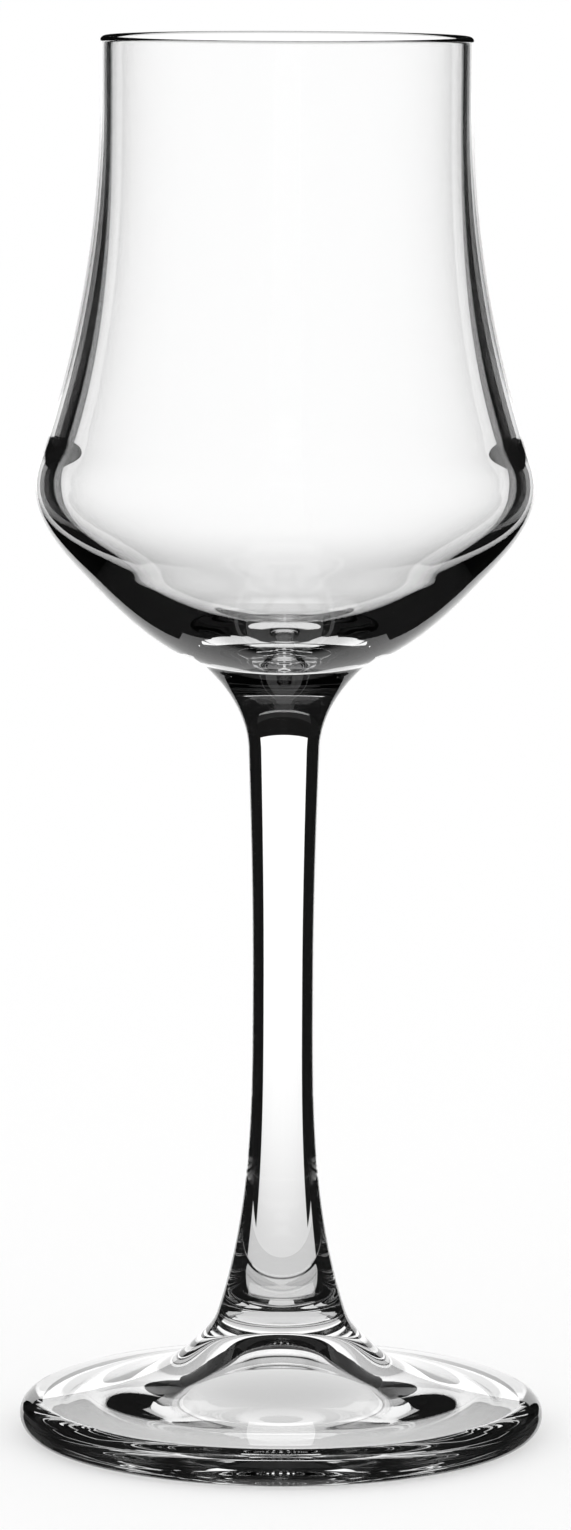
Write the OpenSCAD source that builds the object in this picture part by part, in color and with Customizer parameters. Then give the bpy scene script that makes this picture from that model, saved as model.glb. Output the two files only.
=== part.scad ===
// Sherry glass: a tapered bowl on a drawn stem and a trumpet foot, each one gather of clear glass,
// fused face to face while hot. The axis is +Z and the foot rests on z = 0.
// Every piece is one outline turned about the axis.

/* [Bowl] */
// Height of the bowl from the upper weld to the lip
bowl_h = 71.8; // [64:0.2:84]
// Outside diameter at the lip
lip_d = 42.1; // [40:0.1:46]
// Thickness of the glass at the lip
lip_wall = 1.2; // [0.9:0.1:1.8]
// Length of the straight neck below the lip
neck_h = 7; // [4:0.5:12]
// Outside diameter where the neck has flared out above the belly
flare_d = 53.8; // [51:0.1:55.5]
// Height of the flare above the weld
flare_h = 26.7; // [25:0.1:30]
// Thickness of the glass at the flare
flare_wall = 2.4; // [1.8:0.1:3]
// Outside diameter at the belly, the widest place of the bowl
belly_d = 56.7; // [55.8:0.1:60]
// Height of the belly above the weld
belly_h = 21.1; // [19:0.1:22.5]
// Thickness of the glass at the belly
belly_wall = 2.1; // [1.6:0.1:2.8]
// Outside diameter half way down the bowl's underside
under_d = 46.4; // [42:0.1:50]
// Height of that place above the weld
under_h = 11.5; // [10:0.1:13]
// Outside diameter at the throat, where the underside turns down into the stem
throat_d = 19.2; // [18.6:0.1:21]
// Height of the throat above the weld
throat_h = 0.9; // [0.7:0.1:1.4]
// Thickness of the glass half way down the underside
under_wall = 2.6; // [2:0.1:3.4]
// Diameter of the shallow floor inside the bowl
floor_d = 16; // [12:0.5:20]
// Rise of the floor from its middle to its edge
floor_lift = 1.8; // [1.2:0.1:2.4]
// Thickness of the glass under the middle of the floor
floor_wall = 3.3; // [2.6:0.1:4.6]

/* [Stem] */
// Length of the stem between its two welds
stem_h = 74.2; // [50:0.2:100]
// Diameter of the upper weld
upper_weld_d = 17; // [16:0.1:17.8]
// Diameter of the stem's neck, just under its flared head
stem_neck_d = 8.1; // [7.4:0.1:9.5]
// Distance from the upper weld down to the neck
stem_head_h = 8.9; // [8:0.1:12]
// Diameter at the waist, the thinnest place of the stem
waist_d = 6.94; // [5.5:0.02:7.3]
// Height of the waist above the lower weld
waist_h = 38.5; // [30:0.5:42]

/* [Foot] */
// Diameter of the foot
foot_d = 60.2; // [58:0.1:70]
// Height of the foot's boss, up to the lower weld
boss_h = 14; // [13:0.1:16]
// Diameter of the lower weld
lower_weld_d = 14.7; // [13:0.1:16]
// Diameter where the boss spreads into the plate
spread_d = 21.2; // [20:0.1:24]
// Height of that place above the table
spread_h = 9.9; // [9:0.1:11]
// Thickness of the plate at its rounded edge
edge_h = 4.4; // [3.5:0.1:5]
// Roundness of the edge, measured inwards from the foot's diameter
edge_round = 2.2; // [1.6:0.1:2.6]
// Width of the flat ring that the glass rests on, from the edge's round inwards
rest_ring_w = 1; // [0.6:0.1:1.8]
// Width of the first gentle rise of the underside, from the rest ring inwards
rise_w = 1.9; // [1:0.1:3]
// Height of that rise
rise_h = 0.27; // [0.14:0.01:0.4]
// Diameter of the hollow under the foot where it starts to rise to its crown
hollow_d = 23; // [19:0.5:27]
// Height of the hollow at that place
hollow_h = 2.7; // [2:0.1:3.5]
// Height of the hollow's crown
crown_h = 10.2; // [8:0.1:11]

/* [Hidden] */
$fn = 96;

clear_glass = [0.86, 0.9, 0.9];
glass_alpha = 0.45;

// Each stretch of an outline is drawn in this many steps
span_steps = 9;
// How long a knot's heading holds, as a share of the distance to the next knot
lead_share = 0.34;
// The same on a quarter round
round_lead_share = 0.39;

// Headings in degrees: 0 points away from the axis, 90 up, 180 to the axis and 270 down
away = 0;
up = 90;
inwards = 180;
down = 270;

// Slopes of the outlines in degrees: from level on the underside and the foot, from upright elsewhere
weld_slope = 44;
throat_slope = 21;
under_slope = 47;
flare_lean = 17;
cavity_slope = 43;
floor_slope = 13;
stem_neck_lean = 2;
lower_weld_slope = 72;
spread_slope = 43;
edge_slope = 9;
hollow_slope = 23;
rise_slope = 8;
rise_end_slope = 14;

lower_weld_z = boss_h;
upper_weld_z = boss_h + stem_h;
lip_z = upper_weld_z + bowl_h;
floor_z = upper_weld_z + floor_wall;

// Outlines run from knot to knot. A knot is [radius, height, heading].
function place(knot) = [knot[0], knot[1]];
function reach(knot, length) = length * [cos(knot[2]), sin(knot[2])];
function blend(a, b, c, d, t) =
    pow(1 - t, 3) * a + 3 * pow(1 - t, 2) * t * b + 3 * (1 - t) * t * t * c + pow(t, 3) * d;

function span(from, to, share) =
    let (
        length = share * norm(place(to) - place(from)),
        leaving = place(from) + reach(from, length),
        arriving = place(to) - reach(to, length)
    )
    [for (step = [0 : span_steps - 1])
        blend(place(from), leaving, arriving, place(to), step / span_steps)];

function curve(knots, share = lead_share) =
    [for (i = [0 : len(knots) - 2]) each span(knots[i], knots[i + 1], share),
     place(knots[len(knots) - 1])];

// Bowl, from the weld up the outside, over the lip and down the cavity to the middle of the floor
lip_r = lip_d / 2;
lip_round = lip_wall / 2;
cavity_r = belly_d / 2 - belly_wall;
under_cavity_r = under_d / 2 - under_wall * sin(under_slope);
under_cavity_z = upper_weld_z + under_h + under_wall * cos(under_slope);

bowl_outside = [
    [upper_weld_d / 2, upper_weld_z, weld_slope],
    [throat_d / 2, upper_weld_z + throat_h, throat_slope],
    [under_d / 2, upper_weld_z + under_h, under_slope],
    [belly_d / 2, upper_weld_z + belly_h, up],
    [flare_d / 2, upper_weld_z + flare_h, up + flare_lean],
    [lip_r, lip_z - neck_h, up],
    [lip_r, lip_z - lip_round, up]
];
bowl_lip = [
    [lip_r, lip_z - lip_round, up],
    [lip_r - lip_round, lip_z, inwards],
    [lip_r - lip_wall, lip_z - lip_round, down]
];
bowl_cavity = [
    [lip_r - lip_wall, lip_z - lip_round, down],
    [lip_r - lip_wall, lip_z - neck_h, down],
    [flare_d / 2 - flare_wall, upper_weld_z + flare_h, down + flare_lean],
    [cavity_r, upper_weld_z + belly_h, down],
    [under_cavity_r, under_cavity_z, inwards + cavity_slope],
    [floor_d / 2, floor_z + floor_lift, inwards + floor_slope],
    [0, floor_z, inwards]
];

module bowl() {
    color(clear_glass, glass_alpha)
        rotate_extrude()
            polygon(concat(
                [[0, upper_weld_z]],
                curve(bowl_outside),
                curve(bowl_lip, round_lead_share),
                curve(bowl_cavity)
            ));
}

// Stem, down its outside from weld to weld
stem_side = [
    [upper_weld_d / 2, upper_weld_z, inwards + weld_slope],
    [stem_neck_d / 2, upper_weld_z - stem_head_h, down - stem_neck_lean],
    [waist_d / 2, lower_weld_z + waist_h, down],
    [lower_weld_d / 2, lower_weld_z, 2 * inwards - lower_weld_slope]
];

module stem() {
    color(clear_glass, glass_alpha)
        rotate_extrude()
            polygon(concat(
                [[0, upper_weld_z]],
                curve(stem_side),
                [[0, lower_weld_z]]
            ));
}

// Foot, down its outside from the weld to the table, then up the hollow to its crown
foot_r = foot_d / 2;
rest_ring_r = foot_r - edge_round - rest_ring_w;
rise_r = rest_ring_r - rise_w;

foot_top = [
    [lower_weld_d / 2, lower_weld_z, 2 * inwards - lower_weld_slope],
    [spread_d / 2, spread_h, 2 * inwards - spread_slope],
    [foot_r - edge_round, edge_h, 2 * inwards - edge_slope]
];
foot_edge = [
    [foot_r - edge_round, edge_h, 2 * inwards - edge_slope],
    [foot_r, edge_h / 2, down],
    [foot_r - edge_round, 0, inwards]
];
foot_rise = [
    [rest_ring_r, 0, inwards - rise_slope],
    [rise_r, rise_h, inwards - rise_slope]
];
foot_hollow = [
    [rise_r, rise_h, inwards - rise_end_slope],
    [hollow_d / 2, hollow_h, inwards - hollow_slope],
    [0, crown_h, inwards]
];

module foot() {
    color(clear_glass, glass_alpha)
        rotate_extrude()
            polygon(concat(
                [[0, lower_weld_z]],
                curve(foot_top),
                curve(foot_edge, round_lead_share),
                curve(foot_rise),
                curve(foot_hollow)
            ));
}

bowl();
stem();
foot();
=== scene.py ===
# Sherry glass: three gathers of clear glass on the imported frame, in a white set with dark cards
import math
import bmesh
import bpy
from mathutils import Matrix, Vector
from mathutils.geometry import interpolate_bezier


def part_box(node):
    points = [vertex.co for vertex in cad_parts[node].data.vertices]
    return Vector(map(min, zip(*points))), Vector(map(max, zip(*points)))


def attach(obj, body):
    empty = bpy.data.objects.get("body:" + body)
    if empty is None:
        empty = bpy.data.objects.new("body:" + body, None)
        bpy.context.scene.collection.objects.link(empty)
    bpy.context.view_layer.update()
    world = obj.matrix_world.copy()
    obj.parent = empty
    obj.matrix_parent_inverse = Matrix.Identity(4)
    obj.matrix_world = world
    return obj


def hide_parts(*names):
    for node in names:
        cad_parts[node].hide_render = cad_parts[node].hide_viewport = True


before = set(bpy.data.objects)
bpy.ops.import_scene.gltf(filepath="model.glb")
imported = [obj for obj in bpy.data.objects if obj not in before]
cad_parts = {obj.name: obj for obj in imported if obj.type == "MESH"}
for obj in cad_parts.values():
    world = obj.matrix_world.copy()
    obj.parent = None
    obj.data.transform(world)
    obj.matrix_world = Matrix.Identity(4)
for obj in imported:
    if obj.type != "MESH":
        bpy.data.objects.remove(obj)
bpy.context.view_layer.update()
print("frame loaded:", sorted(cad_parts))

mm = 0.001
up, inwards, down, fullTurn = 90, 180, 270, 360  # headings of an outline, in degrees
bowlLow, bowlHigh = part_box("bowl")
stemLow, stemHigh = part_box("stem")
footLow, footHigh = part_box("foot")


# Outlines and turned shapes
turning = {
    "segments": 192, "spanSteps": 24, "longSteps": 120, "flatSteps": 3, "crease": 7,
    "leadShare": 0.34, "roundLeadShare": 0.39,
    "mergeGap": 0.002, "weldGap": 0.001, "levelShare": 0.9999,
}


def span(start, end, leadShare, steps):
    # one stretch between two knots, a knot being (radius, height, heading)
    places = [Vector((radius, 0, height)) for radius, height, heading in (start, end)]
    headings = [
        Vector((math.cos(math.radians(heading)), 0, math.sin(math.radians(heading))))
        for radius, height, heading in (start, end)
    ]
    lead = leadShare * (places[1] - places[0]).length
    return interpolate_bezier(
        places[0],
        places[0] + headings[0] * lead,
        places[1] - headings[1] * lead,
        places[1],
        steps + 1,
    )


def curve(knots, leadShare=turning["leadShare"], steps=turning["spanSteps"]):
    points = []
    for start, end in zip(knots, knots[1:]):
        points += span(start, end, leadShare, steps)[:-1]
    return points + [Vector((knots[-1][0], 0, knots[-1][1]))]


def turnedPiece(name, outline, weldHeights, glass):
    # spins an outline in millimetres once round the axis and keeps the weld faces apart
    shape = bmesh.new()
    corners = [shape.verts.new(point * mm) for point in outline]
    chain = [shape.edges.new(pair) for pair in zip(corners, corners[1:])]
    bmesh.ops.spin(
        shape,
        geom=corners + chain,
        cent=(0, 0, 0),
        axis=(0, 0, 1),
        angle=math.tau,
        steps=turning["segments"],
        use_merge=True,
    )
    bmesh.ops.remove_doubles(shape, verts=shape.verts, dist=turning["mergeGap"] * mm)
    bmesh.ops.recalc_face_normals(shape, faces=shape.faces)
    for face in shape.faces:
        face.smooth = True
        height = face.calc_center_median().z
        level = abs(face.normal.z) > turning["levelShare"]
        if level and min(abs(height - weld * mm) for weld in weldHeights) < turning["weldGap"] * mm:
            face.material_index = 1
    for edge in shape.edges:
        slots = {face.material_index for face in edge.link_faces}
        bend = edge.calc_face_angle(0)
        edge.smooth = len(slots) == 1 and bend < math.radians(turning["crease"])
    mesh = bpy.data.meshes.new(name)
    shape.to_mesh(mesh)
    shape.free()
    piece = bpy.data.objects.new(name, mesh)
    bpy.context.collection.objects.link(piece)
    mesh.materials.append(glass)
    mesh.materials.append(weldClear)
    return piece


# Glass
glassLook = {
    "colour": (0.99, 0.99, 0.99, 1), "ior": 1.52, "weld": (1, 1, 1, 1),
    "hazeScale": 160, "hazeDetail": 3, "hazeMost": 0.012,
    "waveHeight": 0.01, "waveDetail": 1,
}


def emptyMaterial(name):
    material = bpy.data.materials.new(name)
    material.use_nodes = True
    nodes, links = material.node_tree.nodes, material.node_tree.links
    nodes.remove(nodes["Principled BSDF"])
    return material, nodes, links


def clearGlass(name, waveSize):
    # clear glass with a trace of haze and the slow waves of a fire-polished surface
    look = glassLook
    material = bpy.data.materials.new(name)
    material.use_nodes = True
    nodes, links = material.node_tree.nodes, material.node_tree.links
    shader = nodes["Principled BSDF"]
    shader.inputs["Base Color"].default_value = look["colour"]
    shader.inputs["Transmission Weight"].default_value = 1
    shader.inputs["IOR"].default_value = look["ior"]
    place = nodes.new("ShaderNodeTexCoord")
    haze = nodes.new("ShaderNodeTexNoise")
    haze.inputs["Scale"].default_value = look["hazeScale"]
    haze.inputs["Detail"].default_value = look["hazeDetail"]
    hazeRange = nodes.new("ShaderNodeMapRange")
    hazeRange.inputs["To Min"].default_value = 0
    hazeRange.inputs["To Max"].default_value = look["hazeMost"]
    wave = nodes.new("ShaderNodeTexNoise")
    wave.inputs["Scale"].default_value = 1 / (waveSize * mm)
    wave.inputs["Detail"].default_value = look["waveDetail"]
    relief = nodes.new("ShaderNodeBump")
    relief.inputs["Strength"].default_value = 1
    relief.inputs["Distance"].default_value = look["waveHeight"] * mm
    links.new(place.outputs["Object"], haze.inputs["Vector"])
    links.new(haze.outputs["Fac"], hazeRange.inputs["Value"])
    links.new(hazeRange.outputs["Result"], shader.inputs["Roughness"])
    links.new(place.outputs["Object"], wave.inputs["Vector"])
    links.new(wave.outputs["Fac"], relief.inputs["Height"])
    links.new(relief.outputs["Normal"], shader.inputs["Normal"])
    return material


def weldGlass():
    # the fused face between two gathers, which light crosses unbent
    material, nodes, links = emptyMaterial("weldClear")
    shader = nodes.new("ShaderNodeBsdfTransparent")
    shader.inputs["Color"].default_value = glassLook["weld"]
    links.new(shader.outputs["BSDF"], nodes["Material Output"].inputs["Surface"])
    return material


weldClear = weldGlass()
bowlGlass = clearGlass("bowlGlass", waveSize=20)
stemGlass = clearGlass("stemGlass", waveSize=12)
footGlass = clearGlass("footGlass", waveSize=16)
print("glass mixed")


# Bowl
bowlSizes = {
    "weldRadius": 8.5, "weldSlope": 44,
    "throatRadius": 9.6, "throatRise": 0.9, "throatSlope": 21,
    "underRadius": 23.2, "underRise": 11.5, "underSlope": 47,
    "bellyRise": 21.1, "bellyWall": 2.1,
    "flareRadius": 26.9, "flareRise": 26.7, "flareLean": 17, "flareWall": 2.4,
    "lipRadius": 21.05, "lipWall": 1.2, "neckLength": 7,
    "underWall": 2.6, "cavitySlope": 43,
    "floorRadius": 8, "floorLift": 1.8, "floorSlope": 13, "floorWall": 3.3,
}


def bowl():
    sizes = bowlSizes
    weld, lip = bowlLow.z / mm, bowlHigh.z / mm
    belly, bellyHeight = bowlHigh.x / mm, weld + sizes["bellyRise"]
    flareHeight, underHeight = weld + sizes["flareRise"], weld + sizes["underRise"]
    lipRound = sizes["lipWall"] / 2
    inner = sizes["lipRadius"] - sizes["lipWall"]
    floor = weld + sizes["floorWall"]
    slope = math.radians(sizes["underSlope"])
    outside = [
        (sizes["weldRadius"], weld, sizes["weldSlope"]),
        (sizes["throatRadius"], weld + sizes["throatRise"], sizes["throatSlope"]),
        (sizes["underRadius"], underHeight, sizes["underSlope"]),
        (belly, bellyHeight, up),
        (sizes["flareRadius"], flareHeight, up + sizes["flareLean"]),
        (sizes["lipRadius"], lip - sizes["neckLength"], up),
        (sizes["lipRadius"], lip - lipRound, up),
    ]
    lipTurn = [
        (sizes["lipRadius"], lip - lipRound, up),
        (sizes["lipRadius"] - lipRound, lip, inwards),
        (inner, lip - lipRound, down),
    ]
    cavity = [
        (inner, lip - lipRound, down),
        (inner, lip - sizes["neckLength"], down),
        (sizes["flareRadius"] - sizes["flareWall"], flareHeight, down + sizes["flareLean"]),
        (belly - sizes["bellyWall"], bellyHeight, down),
        (
            sizes["underRadius"] - sizes["underWall"] * math.sin(slope),
            underHeight + sizes["underWall"] * math.cos(slope),
            inwards + sizes["cavitySlope"],
        ),
        (sizes["floorRadius"], floor + sizes["floorLift"], inwards + sizes["floorSlope"]),
        (0, floor, inwards),
    ]
    outline = [Vector((0, 0, weld))]
    outline += curve(outside)
    outline += curve(lipTurn, turning["roundLeadShare"])[1:]
    outline += curve(cavity)[1:]
    piece = turnedPiece("bowlShell", outline, [weld], bowlGlass)
    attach(piece, "root")
    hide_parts("bowl")
    return piece


# Stem
stemSizes = {
    "headRadius": 8.5, "headSlope": 44,
    "neckRadius": 4.05, "neckDrop": 8.9, "neckLean": 2,
    "waistRadius": 3.47, "waistRise": 38.5,
    "rootRadius": 7.35, "rootSlope": 72,
}


def stem():
    sizes = stemSizes
    low, high = stemLow.z / mm, stemHigh.z / mm
    side = [
        (sizes["headRadius"], high, inwards + sizes["headSlope"]),
        (sizes["neckRadius"], high - sizes["neckDrop"], down - sizes["neckLean"]),
        (sizes["waistRadius"], low + sizes["waistRise"], down),
        (sizes["rootRadius"], low, fullTurn - sizes["rootSlope"]),
    ]
    outline = [Vector((0, 0, high))]
    outline += curve(side, steps=turning["longSteps"])
    outline.append(Vector((0, 0, low)))
    piece = turnedPiece("stemRod", outline, [low, high], stemGlass)
    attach(piece, "root")
    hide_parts("stem")
    return piece


# Foot
footSizes = {
    "bossRadius": 7.35, "bossSlope": 72,
    "spreadRadius": 10.6, "spreadHeight": 9.9, "spreadSlope": 43,
    "edgeHeight": 4.4, "edgeRound": 2.2, "edgeSlope": 9,
    "ringWidth": 1, "riseWidth": 1.9, "riseHeight": 0.27, "riseSlope": 8, "riseEndSlope": 14,
    "hollowRadius": 11.5, "hollowHeight": 2.7, "hollowSlope": 23,
    "crownHeight": 10.2,
}


def foot():
    sizes = footSizes
    high = footHigh.z / mm
    rim = footHigh.x / mm
    edgeRadius = rim - sizes["edgeRound"]
    ringRadius = edgeRadius - sizes["ringWidth"]
    riseRadius = ringRadius - sizes["riseWidth"]
    top = [
        (sizes["bossRadius"], high, fullTurn - sizes["bossSlope"]),
        (sizes["spreadRadius"], sizes["spreadHeight"], fullTurn - sizes["spreadSlope"]),
        (edgeRadius, sizes["edgeHeight"], fullTurn - sizes["edgeSlope"]),
    ]
    edge = [
        (edgeRadius, sizes["edgeHeight"], fullTurn - sizes["edgeSlope"]),
        (rim, sizes["edgeHeight"] / 2, down),
        (edgeRadius, 0, inwards),
    ]
    rise = [
        (ringRadius, 0, inwards - sizes["riseSlope"]),
        (riseRadius, sizes["riseHeight"], inwards - sizes["riseSlope"]),
    ]
    hollow = [
        (riseRadius, sizes["riseHeight"], inwards - sizes["riseEndSlope"]),
        (sizes["hollowRadius"], sizes["hollowHeight"], inwards - sizes["hollowSlope"]),
        (0, sizes["crownHeight"], inwards),
    ]
    outline = [Vector((0, 0, high))]
    outline += curve(top)
    outline += curve(edge, turning["roundLeadShare"])[1:]
    for step in range(1, turning["flatSteps"]):  # the flat ring that the glass rests on
        share = step / turning["flatSteps"]
        outline.append(Vector((edgeRadius, 0, 0)).lerp(Vector((ringRadius, 0, 0)), share))
    outline += curve(rise)
    outline += curve(hollow)[1:]
    piece = turnedPiece("footPlate", outline, [high], footGlass)
    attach(piece, "root")
    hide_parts("foot")
    return piece


bowl()
stem()
foot()
print("pieces turned: bowl, stem, foot")


# Camera, placed as the photograph was taken
cameraPlace = {
    "distance": 787.9, "height": 181.5, "pitch": 7.53, "roll": 0.26,
    "focalPixels": 6976, "imageHeight": 1530, "axisOffset": -0.18,
    "sensorWidth": 36, "clipNear": 0.01, "clipFar": 100,
}


def camera():
    place = cameraPlace
    data = bpy.data.cameras.new("camera")
    data.sensor_width = place["sensorWidth"]
    data.lens = place["sensorWidth"] * place["focalPixels"] / place["imageHeight"]
    data.clip_start = place["clipNear"]
    data.clip_end = place["clipFar"]
    body = bpy.data.objects.new("camera", data)
    bpy.context.collection.objects.link(body)
    body.matrix_world = (
        Matrix.Translation(Vector((-place["axisOffset"], -place["distance"], place["height"])) * mm)
        @ Matrix.Rotation(math.radians(90 - place["pitch"]), 4, "X")
        @ Matrix.Rotation(math.radians(place["roll"]), 4, "Z")
    )
    bpy.context.scene.camera = body
    return body


viewer = camera()
print("camera placed")


# Set: white world, white floor and a lit panel among dark cards, which turn to face the camera
setLook = {
    "world": 1, "floorColour": 0.8, "floorSize": 30, "floorDrop": 0.05,
    # shadeLevel, shadeHalf and shadeDrop size the grey veil of painted shadow under the foot
    "shadeLevel": 0.85, "shadeHalf": 50, "shadeDrop": 3,
    "sideGap": 58, "lowGap": 75, "sideBack": 95, "front": 400, "roof": 400, "depth": 300,
    "panelBack": 620, "panelHalf": 350, "panelTop": 163, "wingHalf": 900,
    "panelLevel": 1.19, "lowShare": 0.65,
    # tableLevel is the glow of the bottom card, painted light for the table seen through the glass
    "underNear": 120, "underFar": 160, "tableNear": 180, "tableFar": 230, "tableLevel": 0.78,
    "blackLevel": 0.01, "frontLevel": 0.05, "roofLevel": 0.03,
}


def grey(value):
    return (value, value, value, 1)


def setOnly(material, shader):
    # shows the shader to gloss and glass, and nothing to light on its way to the table
    nodes, links = material.node_tree.nodes, material.node_tree.links
    rays = nodes.new("ShaderNodeLightPath")
    onTable = nodes.new("ShaderNodeMath")
    onTable.operation = "GREATER_THAN"
    onTable.inputs[1].default_value = 0.5
    nothing = nodes.new("ShaderNodeBsdfTransparent")
    choice = nodes.new("ShaderNodeMixShader")
    links.new(rays.outputs["Diffuse Depth"], onTable.inputs[0])
    links.new(onTable.outputs[0], choice.inputs[0])
    links.new(shader.outputs[0], choice.inputs[1])
    links.new(nothing.outputs[0], choice.inputs[2])
    links.new(choice.outputs[0], nodes["Material Output"].inputs["Surface"])


def floorWhite():
    # matte, topped up to white for the camera, and clear to gloss and glass
    material, nodes, links = emptyMaterial("floorWhite")
    matte = nodes.new("ShaderNodeBsdfDiffuse")
    matte.inputs["Color"].default_value = grey(setLook["floorColour"])
    rays = nodes.new("ShaderNodeLightPath")
    level = nodes.new("ShaderNodeMath")
    level.operation = "MULTIPLY"
    level.inputs[1].default_value = 1 - setLook["floorColour"]
    lamp = nodes.new("ShaderNodeEmission")
    both = nodes.new("ShaderNodeAddShader")
    throughGlass = nodes.new("ShaderNodeMath")
    throughGlass.operation = "MAXIMUM"
    nothing = nodes.new("ShaderNodeBsdfTransparent")
    choice = nodes.new("ShaderNodeMixShader")
    links.new(rays.outputs["Is Camera Ray"], level.inputs[0])
    links.new(level.outputs[0], lamp.inputs["Strength"])
    links.new(matte.outputs["BSDF"], both.inputs[0])
    links.new(lamp.outputs["Emission"], both.inputs[1])
    links.new(rays.outputs["Is Glossy Ray"], throughGlass.inputs[0])
    links.new(rays.outputs["Is Transmission Ray"], throughGlass.inputs[1])
    links.new(throughGlass.outputs[0], choice.inputs[0])
    links.new(both.outputs["Shader"], choice.inputs[1])
    links.new(nothing.outputs["BSDF"], choice.inputs[2])
    links.new(choice.outputs["Shader"], nodes["Material Output"].inputs["Surface"])
    return material


def darkCard(name, level):
    # matte and nearly black
    material, nodes = emptyMaterial(name)[:2]
    matte = nodes.new("ShaderNodeBsdfDiffuse")
    matte.inputs["Color"].default_value = grey(level)
    setOnly(material, matte)
    return material


def paintedFootShadow():
    # painted shadow: a thin grey veil under the foot that darkens the table seen through the foot,
    # standing in for its shade
    material, nodes, links = emptyMaterial("paintedFootShadow")
    veil = nodes.new("ShaderNodeBsdfTransparent")
    veil.inputs["Color"].default_value = grey(setLook["shadeLevel"])
    links.new(veil.outputs["BSDF"], nodes["Material Output"].inputs["Surface"])
    return material


def fade(nodes, links, value, start, end, first, last):
    # a level that goes softly from first to last while the value goes from start to end
    share = nodes.new("ShaderNodeMapRange")
    share.interpolation_type = "SMOOTHSTEP"
    numbers = {"From Min": start, "From Max": end, "To Min": first, "To Max": last}
    for socket, number in numbers.items():
        share.inputs[socket].default_value = number
    links.new(value, share.inputs["Value"])
    return share.outputs["Result"]


def panelGlow():
    # the lit panel behind the glass, darker towards its foot
    look = setLook
    material, nodes, links = emptyMaterial("panelGlow")
    place = nodes.new("ShaderNodeTexCoord")
    split = nodes.new("ShaderNodeSeparateXYZ")
    lamp = nodes.new("ShaderNodeEmission")
    links.new(place.outputs["Object"], split.inputs[0])
    level = fade(
        nodes, links, split.outputs["Z"],
        0, -look["depth"] * mm, look["panelLevel"], look["panelLevel"] * look["lowShare"],
    )
    links.new(level, lamp.inputs["Strength"])
    setOnly(material, lamp)
    return material


def tableGlow():
    # the table below the glass as a glowing card: its grey glow is painted light standing in for
    # the lit table, with a dark band behind it
    look = setLook
    material, nodes, links = emptyMaterial("tableGlow")
    place = nodes.new("ShaderNodeTexCoord")
    split = nodes.new("ShaderNodeSeparateXYZ")
    onLevel = nodes.new("ShaderNodeVectorMath")
    onLevel.operation = "MULTIPLY"
    onLevel.inputs[1].default_value = (1, 1, 0)
    reach = nodes.new("ShaderNodeVectorMath")
    reach.operation = "LENGTH"
    lighter = nodes.new("ShaderNodeMath")
    lighter.operation = "MAXIMUM"
    lamp = nodes.new("ShaderNodeEmission")
    links.new(place.outputs["Object"], split.inputs[0])
    links.new(place.outputs["Object"], onLevel.inputs[0])
    links.new(onLevel.outputs["Vector"], reach.inputs[0])
    below = fade(
        nodes, links, reach.outputs["Value"],
        look["underNear"] * mm, look["underFar"] * mm, look["tableLevel"], look["blackLevel"],
    )
    behind = fade(
        nodes, links, split.outputs["Y"],
        look["tableNear"] * mm, look["tableFar"] * mm, look["blackLevel"], look["tableLevel"],
    )
    links.new(below, lighter.inputs[0])
    links.new(behind, lighter.inputs[1])
    links.new(lighter.outputs[0], lamp.inputs["Strength"])
    setOnly(material, lamp)
    return material


def levelCorners(half, near, far, height):
    return [(-half, near, height), (half, near, height), (half, far, height), (-half, far, height)]


def uprightCorners(left, right, back, low, high):
    return [(left, back, low), (right, back, low), (right, back, high), (left, back, high)]


def setCard(name, corners, material):
    # one flat card from its corners
    shape = bmesh.new()
    shape.faces.new([shape.verts.new(corner) for corner in corners])
    mesh = bpy.data.meshes.new(name)
    shape.to_mesh(mesh)
    shape.free()
    mesh.materials.append(material)
    card = bpy.data.objects.new(name, mesh)
    bpy.context.collection.objects.link(card)
    return card


def flag(name, corners, material):
    # a card that only gloss and glass see, and that turns about the glass with the camera
    card = setCard(name, corners, material)
    card.visible_camera = False
    card.visible_diffuse = False
    card.visible_shadow = False
    turner = card.constraints.new("LOCKED_TRACK")
    turner.target = viewer
    turner.track_axis = "TRACK_NEGATIVE_Y"
    turner.lock_axis = "LOCK_Z"


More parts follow.
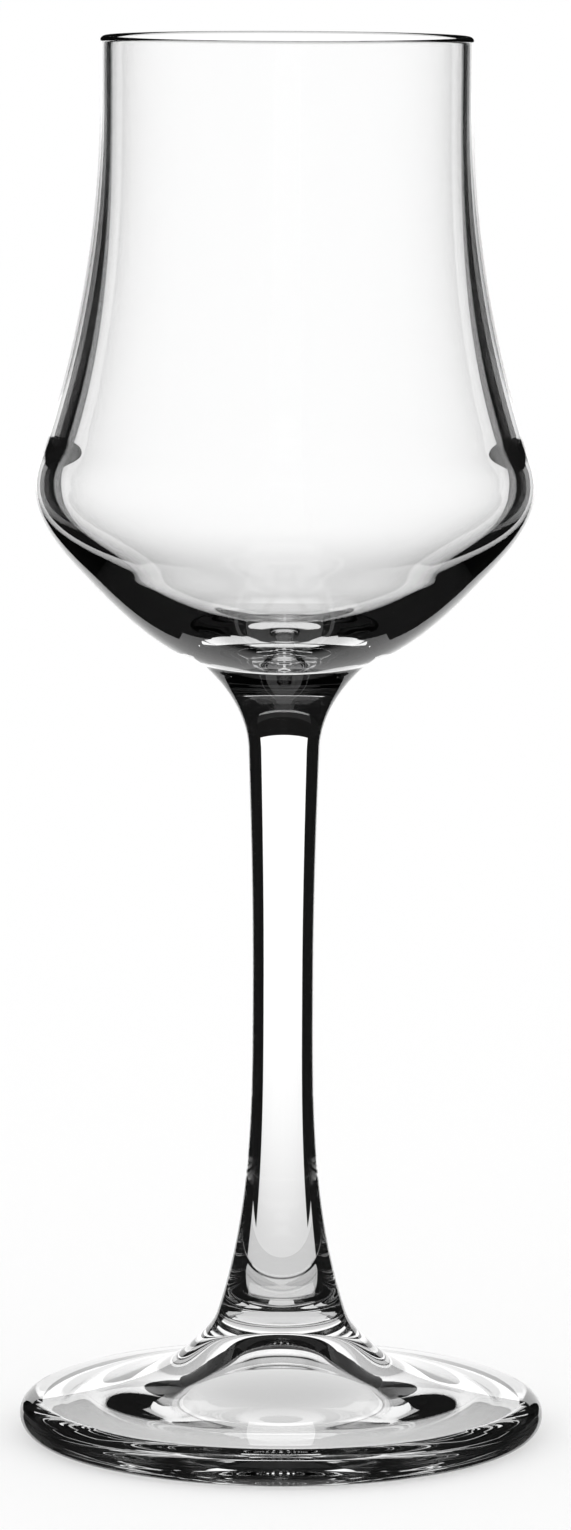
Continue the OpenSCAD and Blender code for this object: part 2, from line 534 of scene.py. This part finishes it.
def studio():
    look = setLook
    world = bpy.data.worlds.new("softWhite")
    world.use_nodes = True
    sky = world.node_tree.nodes["Background"]
    sky.inputs["Color"].default_value = grey(1)
    sky.inputs["Strength"].default_value = look["world"]
    bpy.context.scene.world = world
    half = look["floorSize"] / 2
    setCard("floor", levelCorners(half, -half, half, -look["floorDrop"] * mm), floorWhite())
    # a grey veil under the foot, painted shadow of the table seen through the glass
    half = look["shadeHalf"] * mm
    flag("flagShade", levelCorners(half, -half, half, -look["shadeDrop"] * mm), paintedFootShadow())
    near, back, far = -look["front"] * mm, look["sideBack"] * mm, look["panelBack"] * mm
    low, top, roof = -look["depth"] * mm, look["panelTop"] * mm, look["roof"] * mm
    wide, wing = look["panelHalf"] * mm, look["wingHalf"] * mm
    black = darkCard("flagBlack", look["blackLevel"])
    for turn, word in ((-1, "Left"), (1, "Right")):
        for level, gap, foot, head in (("High", "sideGap", 0, roof), ("Low", "lowGap", low, 0)):
            side = turn * look[gap] * mm
            flag(
                "flag" + level + word,
                [(side, near, foot), (side, back, foot), (side, back, head), (side, near, head)],
                black,
            )
        flag("flagWing" + word, uprightCorners(turn * wide, turn * wing, far, low, roof), black)
    flag("flagPanel", uprightCorners(-wide, wide, far, low, top), panelGlow())
    flag("flagAbove", uprightCorners(-wide, wide, far, top, roof), black)
    frontDark = darkCard("flagNear", look["frontLevel"])
    flag("flagFront", uprightCorners(-wide, wide, near, low, roof), frontDark)
    flag("flagRoof", levelCorners(wing, near, far, roof), darkCard("flagOver", look["roofLevel"]))
    # the bottom card glows as painted light for the table seen through the glass
    flag("flagBottom", levelCorners(wing, near, far, low), tableGlow())


studio()
print("set built")

# Light paths, long enough for the many bends inside clear glass
rayBounces = {"all": 32, "gloss": 16, "clear": 16}
bpy.context.scene.view_settings.view_transform = "Standard"
cycles = bpy.context.scene.cycles
cycles.max_bounces = rayBounces["all"]
cycles.transmission_bounces = rayBounces["all"]
cycles.glossy_bounces = rayBounces["gloss"]
cycles.transparent_max_bounces = rayBounces["clear"]

bpy.context.view_layer.update()
